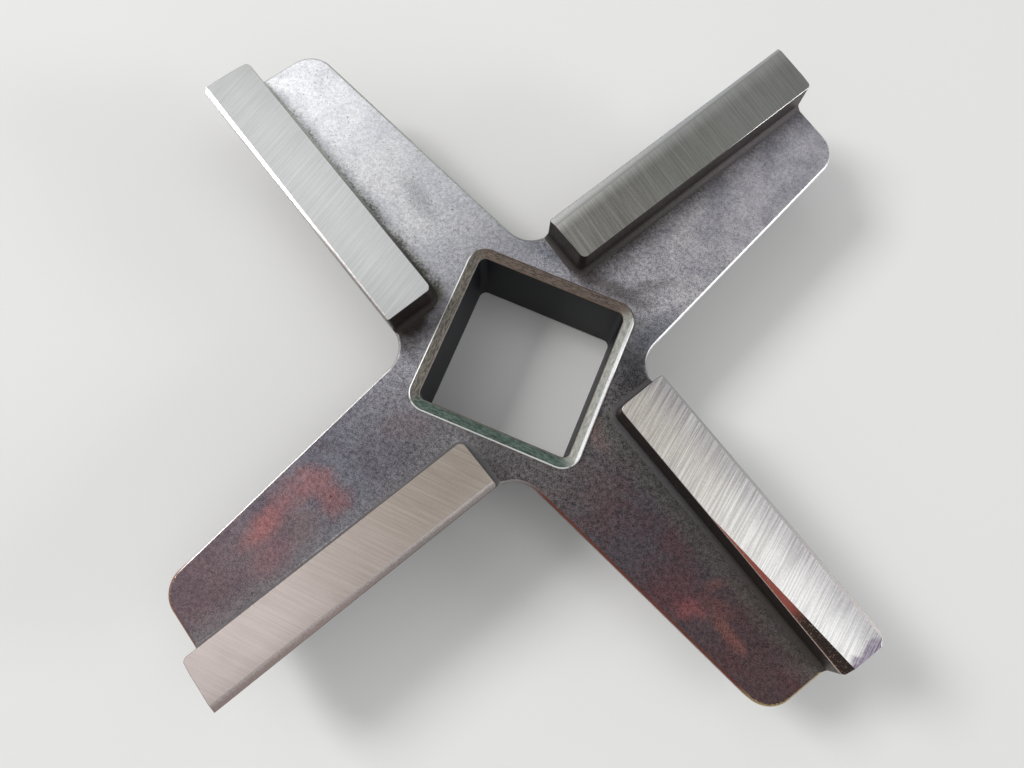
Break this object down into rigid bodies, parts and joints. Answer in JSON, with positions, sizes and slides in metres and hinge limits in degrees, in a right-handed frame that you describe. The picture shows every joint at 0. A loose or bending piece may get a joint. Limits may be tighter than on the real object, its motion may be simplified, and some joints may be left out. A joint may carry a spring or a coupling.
{
  "type": "meat grinder knife",
  "caption": "Cross-shaped meat grinder knife: flat webbed arms, each with a raised cutting bar ground flat on top, round a thin collar with a square through bore.",
  "frame": {"origin": "on the axis of the square bore, at the foot of the collar, so the part rests on z = 0", "axes": "+Z along the bore, from the collar's foot to the ground cutting faces; +X and +Y square to the sides of the bore"},
  "size_m": [0.0508, 0.0514, 0.0089],
  "materials": {
    "knife": "as-cast steel, grainy and tempered, with the tops of the cutting bars ground bright"
  },
  "bodies": {
    "root": {"knife": "knife"}
  },
  "joints": []
}
